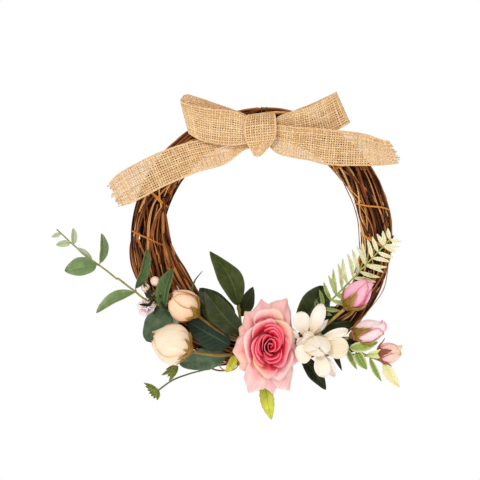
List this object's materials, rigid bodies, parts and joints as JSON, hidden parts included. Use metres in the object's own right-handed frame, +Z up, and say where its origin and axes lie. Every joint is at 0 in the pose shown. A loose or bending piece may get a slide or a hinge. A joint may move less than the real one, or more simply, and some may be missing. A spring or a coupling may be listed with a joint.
{
  "type": "flower crown",
  "caption": "Ring of bundled vine twigs with a burlap ribbon bow at the top and artificial roses, buds, blossoms and leaves along the lower half, for wearing or hanging.",
  "frame": {"origin": "centre of the twig ring, midway between its front and back faces", "axes": "+Z up through the bow when it hangs, +Y from the flowered face to the back, +X to the viewer's right"},
  "size_m": [0.313, 0.068, 0.2928],
  "materials": {
    "twig": "matte",
    "binding_vine": "satin",
    "burlap": "matte",
    "rose_pink": "matte",
    "rose_deep_pink": "matte",
    "ivory_petal": "matte",
    "blossom_centre": "satin",
    "pink_bud": "matte",
    "peach_bud": "matte",
    "calyx": "satin",
    "stem": "satin",
    "dark_leaf": "matte",
    "silver_leaf": "matte",
    "lime_leaf": "matte",
    "fern": "satin",
    "berry": "satin",
    "tie_wire": "satin",
    "glue": "gloss"
  },
  "bodies": {
    "root": {"inner_twigs": "twig", "outer_vines": "twig", "loose_vines": "twig", "binding_vines": "binding_vine", "bow_knot": "burlap", "bow_wires": "tie_wire", "bow_left_loop": "burlap", "bow_right_loop": "burlap", "bow_left_tail": "burlap", "bow_right_tail": "burlap", "rose_heart": "rose_deep_pink", "rose_inner_petals": "rose_deep_pink", "rose_middle_petals": "rose_pink", "rose_outer_petals": "rose_pink", "rose_calyx": "calyx", "rose_stem": "stem", "blossom_front_petals": "ivory_petal", "blossom_back_petals": "ivory_petal", "blossom_cups": "blossom_centre", "blossom_stems": "stem", "pink_bud_1": "pink_bud", "pink_bud_1_calyx": "calyx", "pink_bud_1_stem": "stem", "pink_bud_2": "pink_bud", "pink_bud_2_calyx": "calyx", "pink_bud_2_stem": "stem", "pink_bud_3": "pink_bud", "pink_bud_3_calyx": "calyx", "pink_bud_3_stem": "stem", "peach_bud_1": "peach_bud", "peach_bud_1_calyx": "calyx", "peach_bud_1_stem": "stem", "peach_bud_2": "peach_bud", "peach_bud_2_calyx": "calyx", "peach_bud_2_stem": "stem", "eucalyptus_stem": "stem", "eucalyptus_leaves": "silver_leaf", "eucalyptus_tip_leaves": "silver_leaf", "round_leaves": "silver_leaf", "rose_leaves": "dark_leaf", "rose_leaf_stem": "stem", "right_dark_leaves": "dark_leaf", "lime_leaves": "lime_leaf", "fern_rachis": "stem", "fern_leaflets": "fern", "variegated_stem": "stem", "variegated_leaves": "lime_leaf", "trailing_stem": "stem", "trailing_leaf": "silver_leaf", "berry_stems": "stem", "berries": "berry", "small_blossom": "ivory_petal", "thorn_twig": "stem", "glue_pads": "glue"}
  },
  "joints": []
}
